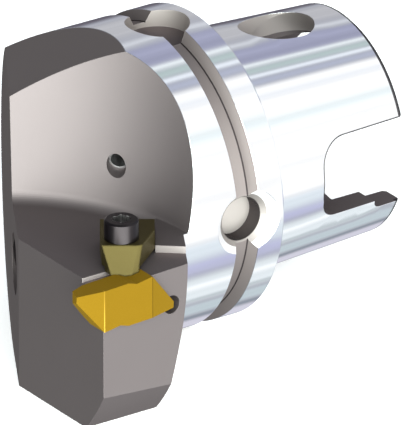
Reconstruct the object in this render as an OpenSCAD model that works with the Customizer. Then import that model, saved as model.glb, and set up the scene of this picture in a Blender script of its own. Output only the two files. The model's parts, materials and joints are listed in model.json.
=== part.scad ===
// Modular cutting unit for threading and grooving inserts.
// The gauge face of the flange is at x = 0, the shank points to +X and the cutting head to -X.
// All hand dependent shapes are laid out with the insert on the +Y side, then mirrored by handed().

/* [Coupling flange] */
// Hand of the tool, a left hand unit is the mirror image
hand = "right"; // [right, left]
// Diameter of the flange
flange_d = 63; // [60:0.5:66]
// Distance from the gauge face to the start of the head
flange_l = 24; // [23:0.25:26]
// Width of the gripper groove at its mouth
groove_w = 5.2; // [4:0.1:6]
// Distance from the gauge face to the groove
groove_x = 6; // [5:0.1:7]
// Depth of the gripper groove
groove_depth = 2.1; // [1.2:0.1:3]
// Diameter of the round pocket on top of the flange
pocket_d = 12.7; // [10:0.1:14]
// Height of the pocket floor above the axis
pocket_floor = 27.6; // [26.5:0.1:29]
// Diameter of the chip hole on the insert side of the flange
chip_hole_d = 9; // [7:0.1:11]
// Depth of the chip hole
chip_hole_depth = 6.3; // [4:0.1:9]

/* [Taper shank] */
// Diameter of the taper at the gauge face
gauge_d = 50; // [47:0.5:53]
// Length of the taper shank
shank_l = 35; // [33:0.5:38]
// Loss of diameter for each millimetre of length
taper_rate = 0.1; // [0.06:0.01:0.12]
// Bore of the hollow shank
shank_bore_d = 37; // [34:0.5:39]
// Depth of the bore past the gauge face
bore_past_gauge = 6; // [4:0.5:8]
// Diameter of the ball lock holes
lock_d = 12.6; // [10:0.2:13.4]
// Distance from the gauge face to the lock holes
lock_x = 21.2; // [20.4:0.1:22]
// Lean of the ball ramp in the lock holes
lock_lean = 36; // [30:1:40]
// Width of the drive slots
slot_w = 16.5; // [14:0.5:18]
// Distance from the gauge face to the floor of the drive slots
slot_x = 14.5; // [13:0.5:17]

/* [Head] */
// Length of the head in front of the gauge face
head_l = 49.5; // [48:0.5:52]
// Diameter of the bar that the head is turned from
blank_d = 94.5; // [93:0.5:97]
// Distance from the axis to the side face at the front
side_y = 41.35; // [40.5:0.05:42.5]
// Relief of the side face
side_relief = 3.3; // [2:0.1:5]
// Slope of the flat on top of the head
top_slope = 33; // [30:1:36]
// Distance from the gauge face to the front edge of the full flange
top_x = 19.6; // [18.5:0.1:21]
// Angle of the flat on the front corner of the head
corner_angle = 30; // [26:1:34]

/* [Chip scoop] */
// Radius of the scoop wall at the ledge
scoop_r = 45.35; // [44.5:0.05:46.5]
// Rise of the scoop radius for each millimetre of height
scoop_flare = 0.28; // [0.2:0.01:0.32]
// Fillet between the ledge and the scoop wall
scoop_fillet = 3; // [2:0.25:4]
// Height of the raised pad that guides the clamp
pad_h = 1.57; // [1:0.01:2]

/* [Insert] */
// Width of the insert
insert_w = 5; // [4.5:0.05:5.5]
// Height of the insert over its two seats
insert_h = 9; // [8.5:0.1:9.5]
// Drop of the cutting edge below the top of the insert
tip_drop = 0.5; // [0.3:0.05:0.7]
// Height of the cutting edge over the ledge of the head
tip_z = 0; // [-0.3:0.05:0.3]
// Reach of the cutting edge past the front of the head
insert_reach = 6; // [5.2:0.1:6.6]
// Length of the insert from corner to corner
insert_l = 22.7; // [22:0.1:23.2]
// Depth of the clamping notch in the insert
notch_depth = 0.6; // [0.4:0.1:1]
// Distance that the insert stands proud of the side face
insert_proud = 0.8; // [0.4:0.05:1.2]

/* [Clamp] */
// Height of the top of the clamp over the ledge
clamp_h = 5; // [4.5:0.1:6]
// Diameter of the clamp screw
screw_d = 4; // [3.5:0.1:4.4]
// Diameter of the head of the clamp screw
screw_head_d = 6.8; // [6.2:0.1:7.2]
// Height of the head of the clamp screw
screw_head_h = 4; // [3.5:0.1:4.5]
// Length of the clamp screw under its head
screw_l = 15; // [13:0.5:18]
// Room between the clamp and the pad beside it
guide_gap = 0.12; // [0.08:0.01:0.25]

/* [Coolant] */
// Outer diameter of the coolant nozzle
nozzle_d = 4.1; // [3.4:0.1:4.6]
// Length of the coolant nozzle
nozzle_l = 6; // [4:0.5:8]
// Diameter of the plug at the front of the head
plug_d = 12; // [9:0.5:13]
// Length of the plug
plug_l = 5; // [4:0.5:7]

/* [Hidden] */
round_fn = 96;
over = 1;
fit_gap = 0.03;

flange_r = flange_d / 2;
gauge_r = gauge_d / 2;
shank_end_r = gauge_r - shank_l * taper_rate / 2;
bore_r = shank_bore_d / 2;
blank_r = blank_d / 2;
front_x = -head_l;
edge_chamfer = 0.5;
groove_flank = 1.2;
groove_bottom_r = flange_r - groove_depth;
groove_mid_x = -groove_x - groove_w / 2;
shoulder_slope = 0.5757;
shoulder_back_x = -flange_l - shoulder_slope * (blank_r - flange_r);
corner_start_x = -flange_l - 0.4;
shank_lip = 0.8;
bore_lip = 0.6;
chip_lip = 0.7;
scoop_centre = [front_x - 19.19, side_y - 9.37];
scoop_top = blank_r;

insert_tip_x = front_x - insert_reach;
insert_centre_x = insert_tip_x + insert_l / 2;
insert_outer_y = side_y + insert_proud;
insert_inner_y = insert_outer_y - insert_w;
insert_centre_z = tip_z + tip_drop - insert_h / 2;
insert_floor_z = insert_centre_z - insert_h / 2;
notch_start_x = 0;
notch_x = 1.95;
top_corner_x = 5.6;
blunt = 1.25;
end_relief = 1;
outer_relief = 1.2;
end_slant = 1;
inner_flat = 7.5;
outer_flat = 5.6;
relief_r = 1.9;
relief_at = [insert_tip_x + insert_l - 0.15, insert_floor_z + 0.9];
step_depth = 1.05;
step_w = 3;
step_back_x = front_x + 6;

screw_at = [front_x + 10.6, side_y - 9.35];
screw_r = screw_d / 2;
screw_point = 0.6;
thread_gap = 0.03;
countersink = 0.6;
recess_r = 2;
recess_depth = 2.2;
ring_t = 0.6;
ring_r = 2.9;
ring_groove_r = 1.6;
ring_z = 0.2;

clamp_angle = 34.4;
clamp_right = 6.4;
clamp_left = -4.2;
clamp_back = -8.7;
clamp_neck = [3.5, 4.9];
clamp_shoulder = 3.5;
clamp_nose = 7.6;
nose_left = -1.6;
nose_right = 3.1;
shoulder_left = -3.8;
cheek_x = 3.39;
taper_start = -3.74;
heel_l = 2.2;
nose_foot = 4.6;
clamp_under = 0.95;
pad_start = -3.96;
pad_slant = 0.0866;

nozzle_z = 8.97;
nozzle_bearing = -26.2;
nozzle_sink = 2;
nozzle_wall = 0.45;
nozzle_shoulder = 0.8;
scoop_r_nozzle = scoop_r + scoop_flare * nozzle_z;
nozzle_at = [scoop_centre.x + scoop_r_nozzle * cos(nozzle_bearing),
             scoop_centre.y + scoop_r_nozzle * sin(nozzle_bearing), nozzle_z];
nozzle_aim = [insert_tip_x, insert_inner_y + 0.2, 1.4] - nozzle_at;
nozzle_turn = atan2(nozzle_aim.y, nozzle_aim.x);
nozzle_dip = atan2(-nozzle_aim.z, norm([nozzle_aim.x, nozzle_aim.y]));
plug_at = [1.7, -10.8];
plug_sink = 0.3;
plug_front_x = corner_start_x - (plug_at.x - plug_d / 2 + flange_r) * tan(corner_angle) + plug_sink;
plug_key_w = 7;
plug_key_depth = 3;

module handed() mirror([0, hand == "right" ? 1 : 0, 0]) children();

// Prism along Y between two planes, from an outline in X and Z
module along_y(y0, y1)
    translate([0, y1, 0]) rotate([90, 0, 0]) linear_extrude(y1 - y0) children();

// Solid turned about X, from an outline in radius and X
module turned_x(outline)
    rotate([0, 90, 0]) rotate_extrude($fn = round_fn * 2) polygon(outline);

module rod_x(x0, x1, r)
    translate([x0, 0, 0]) rotate([0, 90, 0]) cylinder(h = x1 - x0, r = r, $fn = round_fn);

// Flange with its gripper groove, and the taper shank behind it
module coupling_blank()
    turned_x([
        [0, -flange_l], [flange_r, -flange_l],
        [flange_r, groove_mid_x - groove_w / 2],
        [groove_bottom_r, groove_mid_x - groove_w / 2 + groove_flank],
        [groove_bottom_r, groove_mid_x + groove_w / 2 - groove_flank],
        [flange_r, groove_mid_x + groove_w / 2],
        [flange_r, -edge_chamfer], [flange_r - edge_chamfer, 0],
        [gauge_r, 0],
        [shank_end_r + taper_rate * shank_lip / 2, shank_l - shank_lip],
        [shank_end_r - shank_lip, shank_l],
        [bore_r + bore_lip, shank_l], [bore_r, shank_l - bore_lip],
        [bore_r, -bore_past_gauge], [0, -bore_past_gauge]]);

// Head before milling, with the shoulder cone that runs back to the flange
module head_blank()
    turned_x([
        [0, front_x], [blank_r, front_x], [blank_r, shoulder_back_x],
        [flange_r, -flange_l], [0, -flange_l]]);

// Space that the milled head keeps: the round side and the square side with its relief
module head_envelope() {
    rod_x(front_x - over, -flange_l + over, flange_r);
    back_y = side_y - tan(side_relief) * (head_l - flange_l);
    translate([0, 0, -flange_r]) linear_extrude(flange_r + pad_h)
        polygon([[front_x, 0], [front_x, side_y], [-flange_l, back_y], [-flange_l, 0]]);
}

// Flat that slopes down from the top of the flange to the front
module top_flat_cut()
    translate([-top_x, -flange_r - over, flange_r]) rotate([0, -top_slope, 0])
        translate([-2 * head_l, 0, 0]) cube([2 * head_l, 3 * flange_r, head_l]);

// Flat across the front corner, away from the insert
module corner_flat_cut()
    translate([corner_start_x, -flange_r, -blank_r]) rotate([0, 0, 90 + corner_angle])
        translate([-flange_r, 0, 0]) cube([4 * flange_r, head_l, 2 * blank_r]);

// One level of the scoop: a cone with its foot rounded to the floor
module scoop_level(floor_z) {
    lean = atan(scoop_flare);
    steps = 10;
    foot_r = scoop_r + scoop_flare * floor_z;
    fillet_at = foot_r - scoop_fillet * (1 / cos(lean) - scoop_flare);
    top = scoop_top - floor_z;
    foot = [for (i = [0:steps]) let (a = -90 + (90 - lean) * i / steps)
        [fillet_at + scoop_fillet * cos(a), scoop_fillet * (1 + sin(a))]];
    translate([scoop_centre.x, scoop_centre.y, floor_z]) rotate_extrude($fn = round_fn * 2)
        polygon(concat([[0, 0]], foot, [[foot_r + scoop_flare * top, top], [0, top]]));
}

// Pad beside the clamp, left standing in the floor of the scoop
module pad_outline()
    translate(screw_at) rotate(clamp_angle)
        polygon([[clamp_right + guide_gap, pad_start], [clamp_right + guide_gap, -blank_d],
                 [blank_d, -blank_d], [blank_d, pad_start + pad_slant * blank_d]]);

module scoop_cut() {
    scoop_level(pad_h);
    difference() {
        scoop_level(0);
        linear_extrude(2 * pad_h, center = true) pad_outline();
    }
}

// Insert seen from the side: the second half is the first half turned by 180 degrees
function insert_half() = [
    [-insert_l / 2 + 0.1, insert_h / 2 - tip_drop], [notch_start_x, insert_h / 2],
    [notch_x, insert_h / 2 - notch_depth], [top_corner_x, insert_h / 2],
    [insert_l / 2, -insert_h / 2 + tip_drop + blunt]];
module insert_outline()
    translate([insert_centre_x, insert_centre_z])
        polygon(concat(insert_half(), [for (p = insert_half()) -p]));

// Insert pocket: floor, stop wall and the relief hole in its corner
module insert_pocket() {
    stop_x = insert_tip_x + insert_l;
    stop_z = insert_floor_z + tip_drop + blunt;
    stop_top_x = insert_centre_x + top_corner_x;
    along_y(insert_inner_y - fit_gap, side_y + over) {
        polygon([[front_x - over, insert_floor_z], [stop_x, insert_floor_z], [stop_x, stop_z],
                 [stop_top_x, insert_floor_z + insert_h], [stop_top_x, over], [front_x - over, over]]);
        translate(relief_at) circle(r = relief_r, $fn = round_fn);
    }
    // Lower step between the ledge and the insert
    translate([0, 0, -step_depth]) linear_extrude(step_depth + over) {
        translate([front_x - over, insert_inner_y - step_w])
            square([step_back_x - front_x + over, step_w + over / 2]);
        translate([step_back_x, insert_inner_y - step_w / 2]) circle(r = step_w / 2, $fn = round_fn);
    }
}

module threaded_hole()
    translate([screw_at.x, screw_at.y, -screw_l]) {
        cylinder(h = screw_l + clamp_h, r = screw_r + thread_gap, $fn = round_fn);
        translate([0, 0, -screw_r]) cylinder(h = screw_r + 0.01, r1 = 0, r2 = screw_r, $fn = round_fn);
        translate([0, 0, screw_l - countersink])
            cylinder(h = over, r1 = screw_r + thread_gap, r2 = screw_r + thread_gap + over, $fn = round_fn);
    }

// Groove pocket on top and chip hole at the side of the flange
module flange_pockets() {
    translate([groove_mid_x, 0, pocket_floor])
        cylinder(h = flange_r, r = pocket_d / 2, $fn = round_fn);
    translate([groove_mid_x, flange_r - chip_hole_depth, 0]) rotate([-90, 0, 0]) {
        cylinder(h = flange_r, r = chip_hole_d / 2, $fn = round_fn);
        translate([0, 0, chip_hole_depth - groove_depth - chip_lip])
            cylinder(h = flange_r, r1 = chip_hole_d / 2, r2 = chip_hole_d / 2 + flange_r, $fn = round_fn);
    }
}

// Ball lock hole in the top wall: a straight hole joined by a leaning ramp of the same size
module lock_hole() {
    translate([lock_x, 0, bore_r - 4]) cylinder(h = gauge_r, r = lock_d / 2, $fn = round_fn);
    translate([lock_x - 1.7, 0, gauge_r - 1]) rotate([0, -lock_lean, 0])
        translate([0, 0, -lock_d]) cylinder(h = 2 * gauge_r, r = lock_d / 2, $fn = round_fn);
}

// Material that stays in the inner corner of a slot, at the origin
module corner_round(r)
    difference() {
        translate([-over, -over]) square(r + over);
        translate([r, r]) circle(r = r, $fn = round_fn);
    }

// Drive slot in the wall on the insert side, open at the end of the shank
module drive_slot() {
    far = 2 * shank_l;
    step_x = shank_l - 7;
    step = 1.85;
    along_y(bore_r - 8, gauge_r + over) {
        difference() {
            translate([slot_x, -slot_w / 2]) square([far, slot_w]);
            translate([slot_x, -slot_w / 2]) corner_round(3.5);
            translate([slot_x, slot_w / 2]) mirror([0, 1]) corner_round(5.5);
        }
        difference() {
            translate([step_x, -slot_w / 2 - step]) square([far, slot_w / 2]);
            translate([step_x, -slot_w / 2 - step]) corner_round(step - 0.05);
        }
    }
}

module nozzle_frame()
    translate(nozzle_at) rotate([0, 0, nozzle_turn]) rotate([0, 90 + nozzle_dip, 0]) children();

// Coolant channels from the shank bore to the nozzle and to the front plug
module coolant_channels() {
    channel_l = 28;
    nozzle_frame() {
        translate([0, 0, -nozzle_l - nozzle_sink])
            cylinder(h = 2 * nozzle_l + nozzle_sink, r = nozzle_d / 2 + fit_gap, $fn = round_fn);
        translate([0, 0, -channel_l]) cylinder(h = channel_l, r = nozzle_d / 2 - nozzle_shoulder, $fn = round_fn);
    }
    translate([0, plug_at.x, plug_at.y]) {
        rod_x(front_x - over, plug_front_x + plug_l, plug_d / 2 + fit_gap);
        rod_x(plug_front_x + plug_l - over, -bore_past_gauge + over, plug_d / 4);
    }
}

module cutting_unit() color("lightsteelblue") handed()
    difference() {
        union() {
            coupling_blank();
            intersection() {
                head_blank();
                head_envelope();
            }
        }
        top_flat_cut();
        corner_flat_cut();
        scoop_cut();
        insert_pocket();
        threaded_hole();
        flange_pockets();
        coolant_channels();
        for (turn = [0, 180]) rotate([turn, 0, 0]) {
            lock_hole();
            drive_slot();
        }
    }

// Insert: side outline, trimmed by a plan whose ends are relieved on both faces
module insert() color("goldenrod") handed()
    intersection() {
        along_y(insert_inner_y, insert_outer_y) insert_outline();
        translate([insert_centre_x, 0, insert_floor_z - over]) linear_extrude(insert_h + 2 * over) {
            end_x = insert_l / 2 + 0.02;
            inset = insert_inner_y + end_relief;
            end_y = insert_outer_y - outer_relief;
            polygon([[end_slant - end_x, inset], [-inner_flat, insert_inner_y], [inner_flat, insert_inner_y],
                     [end_x - end_slant, inset], [end_x, end_y], [outer_flat, insert_outer_y],
                     [-outer_flat, insert_outer_y], [-end_x, end_y]]);
        }
    }

module clamp_frame()
    translate([screw_at.x, screw_at.y, 0]) rotate([0, 0, clamp_angle]) children();

// Half space in front of a plane through a point, with the given outward normal
module plane_cut(point, normal)
    translate(point) rotate([0, acos(normal.z / norm(normal)), atan2(normal.y, normal.x)])
        translate([-blank_r, -blank_r, 0]) cube([blank_d, blank_d, blank_r]);

module clamp_body()
    difference() {
        translate([0, 0, -notch_depth - over]) linear_extrude(clamp_h + notch_depth + over)
            polygon([[shoulder_left, clamp_shoulder], [nose_left, clamp_nose],
                     [nose_right, clamp_nose], clamp_neck, [clamp_right, taper_start],
                     [clamp_right, clamp_back], [clamp_left, clamp_back], [clamp_left, -2.5]]);
        plane_cut([0, clamp_shoulder, clamp_h], [0, 0.827, 0.562]);
        plane_cut([cheek_x, clamp_shoulder, clamp_h], [0.4, 0.81, 0.43]);
        // Underside, which leaves the heel at the back and the nose at the front
        translate([2 * clamp_left, clamp_back + heel_l, -clamp_h])
            cube([4 * clamp_right, nose_foot - clamp_back - heel_l, clamp_h + clamp_under]);
        translate([2 * clamp_left, clamp_back - over, -clamp_h])
            cube([4 * clamp_right, heel_l + 2 * over, clamp_h + fit_gap]);
    }

module clamp() color("olive") handed()
    difference() {
        clamp_frame() clamp_body();
        // Room over the ledge, and over the notch of the insert
        translate([2 * front_x, 0, -clamp_h])
            cube([2 * head_l, insert_inner_y + fit_gap, clamp_h + fit_gap]);
        translate([insert_centre_x, 0, insert_centre_z + fit_gap]) along_y(insert_inner_y, blank_r)
            polygon([[-insert_l, insert_h / 2], [notch_start_x, insert_h / 2],
                     [notch_x, insert_h / 2 - notch_depth], [top_corner_x, insert_h / 2],
                     [insert_l, insert_h / 2], [insert_l, -insert_h], [-insert_l, -insert_h]]);
        translate([screw_at.x, screw_at.y, -1])
            cylinder(h = clamp_h + 2, r = screw_r + 0.2, $fn = round_fn);
    }

// Six lobe recess for the key
module lobe_recess(r)
    intersection() {
        union() {
            circle(r = r * 0.78, $fn = round_fn);
            for (a = [0:60:300]) rotate(a) translate([r * 0.76, 0]) circle(r = r * 0.24, $fn = 24);
        }
        circle(r = r, $fn = round_fn);
    }

module clamp_screw() color("dimgray") handed()
    translate([screw_at.x, screw_at.y, clamp_h + fit_gap]) difference() {
        rotate_extrude($fn = round_fn) polygon([
            [0, screw_head_h], [screw_head_d / 2 - 0.4, screw_head_h],
            [screw_head_d / 2, screw_head_h - 0.3], [screw_head_d / 2, 0], [screw_r, 0],
            [screw_r, -clamp_h + ring_z + ring_t + fit_gap],
            [ring_groove_r, -clamp_h + ring_z + ring_t + fit_gap],
            [ring_groove_r, -clamp_h + ring_z - fit_gap], [screw_r, -clamp_h + ring_z - fit_gap],
            [screw_r, -screw_l + screw_point], [screw_r - screw_point, -screw_l], [0, -screw_l]]);
        translate([0, 0, screw_head_h - recess_depth])
            linear_extrude(recess_depth + over) lobe_recess(recess_r);
    }

// Open ring in the groove of the screw, it lifts the clamp with the screw
module retaining_ring() color("gray") handed()
    translate([screw_at.x, screw_at.y, ring_z + fit_gap]) linear_extrude(ring_t) difference() {
        circle(r = ring_r, $fn = round_fn);
        circle(r = ring_groove_r + fit_gap, $fn = round_fn);
        translate([0, -0.9]) square([ring_r + over, 1.8]);
    }

module coolant_nozzle() color("silver") handed()
    nozzle_frame() translate([0, 0, -nozzle_l - nozzle_sink]) difference() {
        cylinder(h = nozzle_l, r = nozzle_d / 2, $fn = round_fn);
        translate([0, 0, -over])
            cylinder(h = nozzle_l + 2 * over, r = nozzle_d / 2 - nozzle_wall, $fn = round_fn);
    }

module coolant_plug() color("dimgray") handed()
    translate([0, plug_at.x, plug_at.y]) difference() {
        rod_x(plug_front_x, plug_front_x + plug_l, plug_d / 2);
        translate([plug_front_x - over, 0, 0]) rotate([0, 90, 0])
            cylinder(h = plug_key_depth + over, d = plug_key_w, $fn = 6);
    }

cutting_unit();
insert();
clamp();
clamp_screw();
retaining_ring();
coolant_nozzle();
coolant_plug();
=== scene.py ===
import json
import math

import bpy
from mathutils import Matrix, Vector


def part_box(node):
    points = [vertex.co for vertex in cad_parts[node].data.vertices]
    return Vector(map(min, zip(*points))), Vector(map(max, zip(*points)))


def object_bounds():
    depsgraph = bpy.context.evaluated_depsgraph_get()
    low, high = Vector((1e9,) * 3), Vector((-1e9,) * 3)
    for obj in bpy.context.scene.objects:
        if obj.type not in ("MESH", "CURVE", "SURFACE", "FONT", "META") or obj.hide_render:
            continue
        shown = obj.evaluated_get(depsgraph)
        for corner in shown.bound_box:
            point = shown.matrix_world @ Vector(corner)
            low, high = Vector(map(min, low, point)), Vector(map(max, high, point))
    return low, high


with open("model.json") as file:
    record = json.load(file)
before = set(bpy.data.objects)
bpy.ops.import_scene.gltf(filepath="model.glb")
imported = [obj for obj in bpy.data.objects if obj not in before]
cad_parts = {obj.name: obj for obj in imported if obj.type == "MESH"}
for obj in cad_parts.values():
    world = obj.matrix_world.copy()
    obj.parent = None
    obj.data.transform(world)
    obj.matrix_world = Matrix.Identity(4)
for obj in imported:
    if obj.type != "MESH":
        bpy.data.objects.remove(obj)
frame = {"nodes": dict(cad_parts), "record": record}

cad_low, cad_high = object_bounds()
screw_low, screw_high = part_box("clamp_screw")
mounts = {mount["name"]: mount for mount in frame["record"]["mounts"]}

# Flange, taper and open end of the shank, in metres as all sizes here
FLANGE_R = -cad_low.z
HEAD_START = -0.024
GAUGE_R = 0.025
TAPER_SLOPE = 0.05
RIM = 0.00055
BORE_R = mounts["shank_bore"]["dims"]["r_mm"] / 1000
LIP_START = 0.0339
LIP_END = 0.03499
LIP_INNER_R = 0.0224

# Drive slots, and the painted dark reflection line that follows their edge
SLOT_X = 0.0145
SLOT_HALF_WIDTH = 0.00825
SLOT_CORNER = 0.0055
SLOT_LINE_LOW = -0.0045
SLOT_LINE_WIDTH = 0.00021

# Gripper groove, and the fine painted shade line in its bottom where it meets the flank
GROOVE_X = mounts["gripper_groove"]["pos_m"][0]
GROOVE_BOTTOM_R = -mounts["gripper_groove"]["pos_m"][2]
GROOVE_HALF_WIDTH = 0.0031
GROOVE_SHADE_X = -0.00727
GROOVE_SHADE_HALF_WIDTH = 0.00014

# Round pocket above the groove, chip hole at its side and lock holes in the shank
POCKET_R = 0.00635
POCKET_FLOOR = 0.02765
CHIP_R = 0.00448
CHIP_FLOOR = -0.0252
CHIP_CONE = -0.0242
CHIP_RING_R = 0.0055
LOCK_X = 0.0195
LOCK_REACH = 0.0115
LOCK_R = 0.0064

# Low walls on the ledge: of the step before the clamp, and of the pad beside it, both with painted light
STEP_WALL_Y = -0.03415
STEP_DEPTH = 0.00105
PAD_NORMAL = Vector((-0.63896, -0.76924, 0))
PAD_AWAY = 0.044924
PAD_HEIGHT = 0.00157

# Two upright creases on the outer side of the insert: a painted highlight along the front one, stronger
# towards its foot, and a painted shade line along the rear one
INSERT_SIDE = -0.0416
FRONT_CREASE_X = -0.04975
FRONT_CREASE_HALF_WIDTH = 0.00012
REAR_CREASE_X = -0.03855
REAR_CREASE_HALF_WIDTH = 0.00007
HIGHLIGHT_TOP = 0.001
HIGHLIGHT_FOOT = -0.007
HIGHLIGHT_AT_TOP = 0.25

# Drive socket of the clamp screw, where the painted highlight lies
SCREW_X = (screw_low.x + screw_high.x) / 2
SCREW_Y = (screw_low.y + screw_high.y) / 2
SOCKET_R = 0.0022
SOCKET_TOP = 0.009

# A point this near to a true face counts as on it
SKIN = 0.00008
EDGE_RADIUS = 0.00012
CLAMP_EDGE_RADIUS = 0.0005

# Colours: a pair is what the cloudy noise moves between
HEAD = (0.188, 0.162, 0.162), (0.204, 0.176, 0.176)
SILVER = (0.91, 0.92, 0.94), (0.95, 0.96, 0.97)
# Painted dark reflection on the lip of the open end and along the edge of the drive slots
PAINTED_DARK_REFLECTION = (0.07, 0.065, 0.07)
GOLD = (0.26, 0.154, 0.011), (0.28, 0.168, 0.013)
# Painted highlight along the front crease of the insert
GOLD_HIGHLIGHT = (0.56, 0.37, 0.055)
# Painted shade along the rear crease of the insert
GOLD_PAINTED_SHADE = (0.12, 0.07, 0.008)
OLIVE = (0.088, 0.070, 0.025), (0.098, 0.079, 0.029)
BLACK = (0.037, 0.032, 0.034), (0.045, 0.039, 0.041)
# Painted highlight inside the drive socket of the screw
SOCKET_HIGHLIGHT = (0.34, 0.33, 0.33)
SPRING = (0.30, 0.30, 0.31), (0.38, 0.38, 0.39)
NOZZLE = (0.50, 0.50, 0.50), (0.60, 0.60, 0.60)
FLOOR = (0.9, 0.9, 0.9)
WHITE = (1, 1, 1)

# Faces of the body that differ from the head, in the order in which they are painted over it
FACES = {
    "groove": (0.285, 0.246, 0.240),
    # Painted light on the low wall of the step before the clamp
    "step_wall_painted_light": (0.90, 0.80, 0.78),
    # Painted light on the low wall of the pad beside the clamp
    "pad_wall_painted_light": (0.41, 0.365, 0.355),
    # Painted light on the walls and floors of the round pocket, lock holes and chip hole
    "holes_painted_light": (0.52, 0.468, 0.445),
    "chamfer": (0.36, 0.325, 0.31),
    # Outer part of the chip hole's chamfer, painted near white
    "pale_chamfer_ring": (0.95, 0.93, 0.95),
    # Painted shade on the wall of the chip hole
    "chip_wall_painted_shade": (0.09, 0.08, 0.08),
    # Painted shade line in the bottom of the gripper groove
    "groove_shade_line": (0.06, 0.05, 0.052),
}

# Lowest roughness of each finish, and what the grain adds
SILVER_ROUGHNESS = 0.04
HEAD_ROUGHNESS = 0.59
GOLD_ROUGHNESS = 0.74
CLAMP_ROUGHNESS = 0.46
BARE_ROUGHNESS = 0.3
BLACK_ROUGHNESS = 0.26
HEAD_GRAIN = 0.06
GOLD_GRAIN = 0.10
METAL_GRAIN = 0.12

# Share of the light that the dark steel still throws back at a grazing angle
EDGE_TINT = (0.2, 0.18, 0.19)

# Camera of the photograph, so far away that its view is nearly parallel
AZIMUTH = math.radians(-34.55)
ELEVATION = math.radians(24.51)
FRAME_HEIGHT = 0.08343
LENS = 1200.0
SENSOR = 36.0
SHIFT_RIGHT = 0.001747
SHIFT_UP = -0.01067

# Floor, just under the part
FLOOR_SIZE = 6.0
FLOOR_GAP = 0.00002
FLOOR_GLOW = 0.35

# Studio walls, and the lamps and dark flags on them, which run along the shank axis.
# Each strip has its angle in degrees from the front (-Y) upwards, half width, softness and colour
WALL = (0.42, 0.43, 0.49)
STRIPS = (
    (-161, 15, 9, (0.13, 0.12, 0.15)),
    (-130, 12, 7, (0.68, 0.67, 0.77)),
    (-114, 3, 3, (0.27, 0.30, 0.35)),
    (-101, 7, 4, (0.56, 0.64, 0.68)),
    (-76, 13, 5, (0.84, 0.90, 0.93)),
    (-87, 1.5, 2, (0.58, 0.64, 0.67)),
    (-73, 2, 3, (1.06, 1.08, 1.10)),
    (-53, 6, 6, (0.55, 0.56, 0.76)),
    (-40, 8, 6, (0.80, 0.87, 0.93)),
    (22, 56, 4, (1.10, 1.10, 1.10)),
    (41, 4, 6, (0.93, 1.02, 1.04)),
    (67, 2, 4, (0.90, 0.93, 0.98)),
    (83, 3, 3, (0.47, 0.50, 0.62)),
    (89.5, 2, 2, (0.90, 0.95, 1.02)),
    (96, 3, 3, (0.53, 0.64, 0.64)),
    (102.5, 2, 3, (0.92, 0.98, 1.00)),
    (116, 10, 3, (0.38, 0.39, 0.53)),
    (132, 4, 4, (0.66, 0.68, 0.73)),
    (158, 16, 8, (0.52, 0.52, 0.55)),
)

# Fine streaks that break up the strips, as a share of their light, and how many there are
STREAKS = 0.16
STREAK_SCALE = 0.13

# A direction with less +X than the first number sees the room, and with more than the second the
# walls in full. The room has the same walls at a smaller share of their light
STUDIO_SPLIT = (0.12, 0.36)
ROOM_SHARE = 0.4

# Large soft window beside the camera, on the room's side, which lights the dark metal.
# Its half sizes and soft edge are shares of its distance
WINDOW = Vector((-0.4545, -0.884, 0.106)).normalized()
WINDOW_HALF_WIDTH = 1.46
WINDOW_HALF_HEIGHT = 0.88
WINDOW_EDGE = 0.12
WINDOW_FACING = (0.0, 0.05)
WINDOW_LIGHT = (7.0, 7.55, 7.3)


def make_camera():
    back = Vector((math.sin(AZIMUTH) * math.cos(ELEVATION),
                   -math.cos(AZIMUTH) * math.cos(ELEVATION), math.sin(ELEVATION)))
    turn = (-back).to_track_quat("-Z", "Y")
    right = turn @ Vector((1, 0, 0))
    up = turn @ Vector((0, 1, 0))
    data = bpy.data.cameras.new("camera")
    data.lens = LENS
    data.sensor_width = SENSOR
    data.clip_start = 0.1
    data.clip_end = 50
    camera = bpy.data.objects.new("camera", data)
    bpy.context.scene.collection.objects.link(camera)
    camera.rotation_mode = "QUATERNION"
    camera.rotation_quaternion = turn
    distance = FRAME_HEIGHT * LENS / SENSOR
    camera.location = right * SHIFT_RIGHT + up * SHIFT_UP + back * distance
    bpy.context.scene.camera = camera


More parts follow.
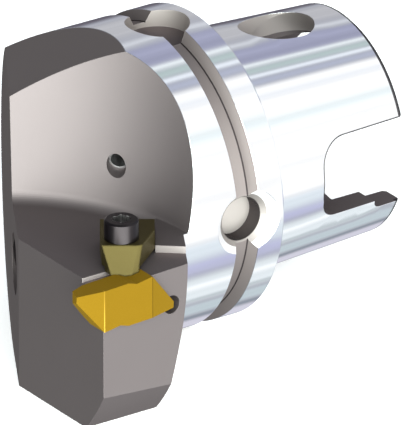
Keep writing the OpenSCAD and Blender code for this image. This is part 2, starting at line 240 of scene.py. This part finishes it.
class Nodes:
    """Short calls that build one node tree. Colours are red, green and blue."""

    def __init__(self, tree):
        self.tree = tree
        tree.nodes.clear()

    def add(self, kind, **values):
        node = self.tree.nodes.new(kind)
        for name, value in values.items():
            setattr(node, name, value)
        return node

    def link(self, source, target):
        self.tree.links.new(source, target)

    def feed(self, socket, value):
        if isinstance(value, bpy.types.NodeSocket):
            self.link(value, socket)
        elif socket.type == "RGBA":
            socket.default_value = (*value, 1)
        else:
            socket.default_value = value

    def math(self, operation, a, b=0.0, c=0.0):
        node = self.add("ShaderNodeMath", operation=operation)
        for socket, value in zip(node.inputs, (a, b, c)):
            self.feed(socket, value)
        return node.outputs[0]

    def difference(self, a, b):
        return self.math("SUBTRACT", a, b)

    def over(self, value, limit):
        return self.math("GREATER_THAN", value, limit)

    def under(self, value, limit):
        return self.math("LESS_THAN", value, limit)

    def near(self, value, centre, reach):
        return self.math("COMPARE", value, centre, reach)

    def all(self, first, *others):
        for other in others:
            first = self.math("MULTIPLY", first, other)
        return first

    def largest(self, first, *others):
        for other in others:
            first = self.math("MAXIMUM", first, other)
        return first

    def length(self, a, b):
        return self.math("SQRT", self.math("MULTIPLY_ADD", a, a, self.math("MULTIPLY", b, b)))

    def dot(self, vector, axis):
        node = self.add("ShaderNodeVectorMath", operation="DOT_PRODUCT")
        self.link(vector, node.inputs[0])
        self.feed(node.inputs[1], axis)
        return node.outputs["Value"]

    def scale(self, vector, factor):
        node = self.add("ShaderNodeVectorMath", operation="SCALE")
        self.link(vector, node.inputs[0])
        self.feed(node.inputs["Scale"], factor)
        return node.outputs[0]

    def step(self, value, low, high, start=0.0, end=1.0):
        """Smooth rise from start, where value is low, to end, where it is high."""
        node = self.add("ShaderNodeMapRange", interpolation_type="SMOOTHSTEP")
        self.feed(node.inputs["Value"], value)
        for name, number in zip(("From Min", "From Max", "To Min", "To Max"), (low, high, start, end)):
            self.feed(node.inputs[name], number)
        return node.outputs[0]

    def mix(self, factor, a, b):
        node = self.add("ShaderNodeMix", data_type="RGBA")
        self.feed(node.inputs["Factor"], factor)
        self.feed(node.inputs[6], a)
        self.feed(node.inputs[7], b)
        return node.outputs[2]

    def place(self):
        """Position on the part in metres, as one vector and as x, y and z."""
        vector = self.add("ShaderNodeTexCoord").outputs["Object"]
        split = self.add("ShaderNodeSeparateXYZ")
        self.link(vector, split.inputs[0])
        return vector, split.outputs

    def noise(self, vector, scale, detail, stretch=None):
        if stretch:
            mapping = self.add("ShaderNodeMapping")
            self.feed(mapping.inputs["Scale"], stretch)
            self.link(vector, mapping.inputs["Vector"])
            vector = mapping.outputs[0]
        node = self.add("ShaderNodeTexNoise")
        self.link(vector, node.inputs["Vector"])
        self.feed(node.inputs["Scale"], scale)
        self.feed(node.inputs["Detail"], detail)
        return node.outputs["Fac"]

    def soft_edges(self, radius):
        node = self.add("ShaderNodeBevel", samples=4)
        self.feed(node.inputs["Radius"], radius)
        return node.outputs[0]

    def bump(self, height, strength, distance, normal=None):
        node = self.add("ShaderNodeBump")
        if normal:
            self.link(normal, node.inputs["Normal"])
        self.feed(node.inputs["Strength"], strength)
        self.feed(node.inputs["Distance"], distance)
        self.link(height, node.inputs["Height"])
        return node.outputs[0]

    def shader(self, **values):
        node = self.add("ShaderNodeBsdfPrincipled")
        for name, value in values.items():
            self.feed(node.inputs[name.replace("_", " ")], value)
        return node


def material(name):
    made = bpy.data.materials.new(name)
    made.use_nodes = True
    nodes = Nodes(made.node_tree)
    nodes.out = nodes.add("ShaderNodeOutputMaterial")
    return made, nodes


def dress(node_name, made):
    slots = frame["nodes"][node_name].data.materials
    slots.clear()
    slots.append(made)


def turned_faces(n, x, radius):
    """Where the flange and the taper are ground."""
    taper_r = n.math("MULTIPLY_ADD", x, -TAPER_SLOPE, GAUGE_R)
    flange = n.all(n.over(x, HEAD_START), n.over(radius, FLANGE_R - SKIN))
    taper = n.all(n.over(x, -RIM), n.under(x, LIP_START), n.over(n.difference(radius, taper_r), -SKIN))
    return n.largest(flange, taper)


def painted_reflection_lines(n, x, z, radius, silver):
    """Painted dark reflection on the lip at the open end and in a line along the edge of the drive slots.
    """
    lip = n.all(n.over(x, LIP_START - SKIN), n.under(x, LIP_END), n.over(radius, LIP_INNER_R))
    before = n.largest(n.difference(SLOT_X + SLOT_CORNER, x), 0.0)
    beside = n.largest(n.difference(n.math("ABSOLUTE", z), SLOT_HALF_WIDTH - SLOT_CORNER), 0.0)
    in_line = n.under(n.length(before, beside), SLOT_CORNER + SLOT_LINE_WIDTH)
    return n.largest(lip, n.all(silver, in_line, n.over(z, SLOT_LINE_LOW)))


def groove_faces(n, x, radius):
    """The gripper groove and the painted shade line in its bottom."""
    in_groove = n.over(radius, GROOVE_BOTTOM_R - SKIN)
    on_bottom = n.all(in_groove, n.under(radius, GROOVE_BOTTOM_R + 2 * SKIN))
    return {
        "groove": n.all(in_groove, n.near(x, GROOVE_X, GROOVE_HALF_WIDTH)),
        "groove_shade_line": n.all(on_bottom, n.near(x, GROOVE_SHADE_X, GROOVE_SHADE_HALF_WIDTH)),
    }


def hole_faces(n, x, y, z):
    """Walls and floors of the round pocket, the lock holes and the chip hole with its chamfer, with
    painted light in the holes and painted shade on the chip hole's wall.
    """
    beside = n.difference(x, GROOVE_X)
    pocket_r = n.length(beside, y)
    chip_r = n.length(beside, z)
    pocket_wall = n.all(n.near(pocket_r, POCKET_R, SKIN), n.over(z, POCKET_FLOOR))
    lock_wall = n.all(n.near(x, LOCK_X, LOCK_REACH), n.under(n.math("ABSOLUTE", y), LOCK_R),
                      n.over(n.math("ABSOLUTE", z), BORE_R + SKIN))
    chip_floor = n.all(n.under(chip_r, CHIP_R), n.near(y, CHIP_FLOOR, SKIN))
    chamfer = n.all(n.near(n.math("ADD", chip_r, y), CHIP_CONE, SKIN), n.over(chip_r, CHIP_R + SKIN))
    return {
        "pocket_wall": pocket_wall,
        # Painted light in the holes
        "holes_painted_light": n.largest(pocket_wall, lock_wall, chip_floor),
        # Painted shade on the wall of the chip hole
        "chip_wall_painted_shade": n.all(n.near(chip_r, CHIP_R, SKIN), n.under(y, CHIP_FLOOR + SKIN)),
        "chamfer": chamfer,
        "pale_chamfer_ring": n.all(chamfer, n.over(chip_r, CHIP_RING_R)),
    }


def ledge_walls(n, vector, y, z):
    """Low walls of the step and of the pad, which get painted light."""
    in_step = n.near(z, -STEP_DEPTH / 2, STEP_DEPTH / 2 - SKIN)
    beside_pad = n.near(z, PAD_HEIGHT / 2, PAD_HEIGHT / 2 - SKIN)
    return {
        "step_wall_painted_light": n.all(in_step, n.near(y, STEP_WALL_Y, SKIN)),
        "pad_wall_painted_light": n.all(beside_pad, n.near(n.dot(vector, PAD_NORMAL), PAD_AWAY, SKIN)),
    }


def body_steel():
    """Ground silver on the flange and taper, darker satin steel on the milled faces."""
    made, n = material("body_steel")
    vector, (x, y, z) = n.place()
    radius = n.length(y, z)
    faces = groove_faces(n, x, radius) | hole_faces(n, x, y, z) | ledge_walls(n, vector, y, z)
    silver = n.all(turned_faces(n, x, radius), n.difference(1.0, faces["pocket_wall"]))

    rings = n.noise(vector, scale=900.0, detail=2.0, stretch=(9.0, 0.05, 0.05))
    grain = n.noise(vector, scale=3500.0, detail=2.0)
    cloud = n.noise(vector, scale=60.0, detail=3.0)
    colour = n.mix(cloud, *HEAD)
    for name, tone in FACES.items():
        colour = n.mix(faces[name], colour, tone)
    colour = n.mix(silver, colour, n.mix(cloud, *SILVER))
    # Painted dark reflection on the lip and along the slot edges
    colour = n.mix(painted_reflection_lines(n, x, z, radius, silver), colour, PAINTED_DARK_REFLECTION)

    satin = n.math("MULTIPLY_ADD", grain, HEAD_GRAIN, HEAD_ROUGHNESS)
    normal = n.bump(n.mix(silver, grain, rings), strength=0.12, distance=0.00002,
                    normal=n.soft_edges(EDGE_RADIUS))
    shader = n.shader(Base_Color=colour, Metallic=1.0, Normal=normal,
                      Roughness=n.math("MULTIPLY_ADD", silver, SILVER_ROUGHNESS - HEAD_ROUGHNESS, satin),
                      Specular_Tint=n.mix(silver, EDGE_TINT, WHITE))
    shader.distribution = "GGX"
    n.link(shader.outputs[0], n.out.inputs[0])
    return made


def gold_coating():
    """Gold with a painted highlight along one crease of the outer side and painted shade along the other.
    """
    made, n = material("gold_coating")
    vector, (x, y, z) = n.place()
    cloud = n.noise(vector, scale=220.0, detail=3.0)
    grain = n.noise(vector, scale=5200.0, detail=2.0)
    side = n.under(y, INSERT_SIDE)
    highlight_strength = n.step(z, HIGHLIGHT_TOP, HIGHLIGHT_FOOT, HIGHLIGHT_AT_TOP, 1.0)
    # Painted highlight along the front crease, weaker towards the top
    highlight = n.all(side, n.near(x, FRONT_CREASE_X, FRONT_CREASE_HALF_WIDTH), highlight_strength)
    # Painted shade along the rear crease
    crease_shade = n.all(side, n.near(x, REAR_CREASE_X, REAR_CREASE_HALF_WIDTH))
    colour = n.mix(cloud, *GOLD)
    colour = n.mix(highlight, colour, GOLD_HIGHLIGHT)
    colour = n.mix(crease_shade, colour, GOLD_PAINTED_SHADE)
    shader = n.shader(Base_Color=colour, Metallic=1.0,
                      Roughness=n.math("MULTIPLY_ADD", grain, GOLD_GRAIN, GOLD_ROUGHNESS),
                      Normal=n.bump(grain, strength=0.08, distance=0.00001))
    n.link(shader.outputs[0], n.out.inputs[0])
    return made


def plain_metal(name, colours, roughness, edge=EDGE_RADIUS, socket=None):
    """Coated or bare steel. The drive socket of the screw may get a lighter colour as a painted
    highlight.
    """
    made, n = material(name)
    vector, (x, y, z) = n.place()
    cloud = n.noise(vector, scale=300.0, detail=3.0)
    grain = n.noise(vector, scale=4200.0, detail=2.0)
    colour = n.mix(cloud, *colours)
    if socket:
        away = n.length(n.difference(x, SCREW_X), n.difference(y, SCREW_Y))
        inside = n.all(n.under(away, SOCKET_R), n.near(z, SOCKET_TOP - SOCKET_R, SOCKET_R))
        # Painted highlight inside the drive socket
        colour = n.mix(inside, colour, socket)
    shader = n.shader(Base_Color=colour, Metallic=1.0,
                      Roughness=n.math("MULTIPLY_ADD", grain, METAL_GRAIN, roughness),
                      Normal=n.bump(grain, strength=0.08, distance=0.00001, normal=n.soft_edges(edge)))
    n.link(shader.outputs[0], n.out.inputs[0])
    return made


def floor_paint():
    made, n = material("floor_paint")
    shader = n.shader(Base_Color=FLOOR, Roughness=0.9, Emission_Color=WHITE, Emission_Strength=FLOOR_GLOW)
    n.link(shader.outputs[0], n.out.inputs[0])
    return made


def make_floor():
    bpy.ops.mesh.primitive_plane_add(size=FLOOR_SIZE, location=(0, 0, cad_low.z - FLOOR_GAP))
    floor = bpy.context.object
    floor.name = "floor"
    floor.data.materials.append(floor_paint())
    floor.visible_glossy = False
    floor.visible_shadow = False


def studio_walls(n, direction, height):
    """Light of the strips in each direction round the shank axis."""
    front = n.dot(direction, (0, -1, 0))
    angle = n.math("DEGREES", n.math("ARCTAN2", height, front))
    walls = WALL
    for centre, half, soft, colour in STRIPS:
        away = n.math("ABSOLUTE", n.difference(angle, centre))
        walls = n.mix(n.step(away, half + soft, half - soft), walls, colour)
    fine = n.add("ShaderNodeTexNoise", noise_dimensions="1D")
    n.link(angle, fine.inputs["W"])
    n.feed(fine.inputs["Scale"], STREAK_SCALE)
    n.feed(fine.inputs["Detail"], 2.0)
    return n.scale(walls, n.math("MULTIPLY_ADD", fine.outputs["Fac"], 2 * STREAKS, 1 - STREAKS))


def window_shape(n, direction):
    """1 inside the window, falling to 0 over its soft edge."""
    across = WINDOW.cross(Vector((0, 0, 1))).normalized()
    upright = across.cross(WINDOW)
    ahead = n.dot(direction, WINDOW)
    shape = n.step(ahead, *WINDOW_FACING)
    for axis, half in ((across, WINDOW_HALF_WIDTH), (upright, WINDOW_HALF_HEIGHT)):
        reach = n.math("ABSOLUTE", n.math("DIVIDE", n.dot(direction, axis), ahead))
        shape = n.all(shape, n.step(reach, half + WINDOW_EDGE, half - WINDOW_EDGE))
    return shape


def make_world():
    """Studio for reflections and light, and plain white where the camera looks past the floor."""
    world = bpy.data.worlds.new("studio")
    bpy.context.scene.world = world
    world.use_nodes = True
    n = Nodes(world.node_tree)
    direction = n.add("ShaderNodeTexCoord").outputs["Generated"]
    split = n.add("ShaderNodeSeparateXYZ")
    n.link(direction, split.inputs[0])
    walls = studio_walls(n, direction, split.outputs["Z"])
    room = n.mix(window_shape(n, direction), n.scale(walls, ROOM_SHARE), WINDOW_LIGHT)

    studio = n.add("ShaderNodeBackground")
    n.link(n.mix(n.step(split.outputs["X"], *STUDIO_SPLIT), room, walls), studio.inputs["Color"])
    plain = n.add("ShaderNodeBackground")
    n.feed(plain.inputs["Color"], WHITE)
    mixed = n.add("ShaderNodeMixShader")
    n.link(n.add("ShaderNodeLightPath").outputs["Is Camera Ray"], mixed.inputs[0])
    n.link(studio.outputs[0], mixed.inputs[1])
    n.link(plain.outputs[0], mixed.inputs[2])
    out = n.add("ShaderNodeOutputWorld")
    n.link(mixed.outputs[0], out.inputs[0])


make_camera()
make_floor()
make_world()
dress("cutting_unit", body_steel())
dress("insert", gold_coating())
dress("clamp", plain_metal("olive_coating", OLIVE, CLAMP_ROUGHNESS, edge=CLAMP_EDGE_RADIUS))
dress("clamp_screw", plain_metal("black_oxide", BLACK, BLACK_ROUGHNESS, socket=SOCKET_HIGHLIGHT))
dress("coolant_plug", plain_metal("black_plug", BLACK, BLACK_ROUGHNESS))
dress("retaining_ring", plain_metal("spring_steel", SPRING, BARE_ROUGHNESS))
dress("coolant_nozzle", plain_metal("nozzle_steel", NOZZLE, BARE_ROUGHNESS))
bpy.context.scene.view_settings.view_transform = "Standard"
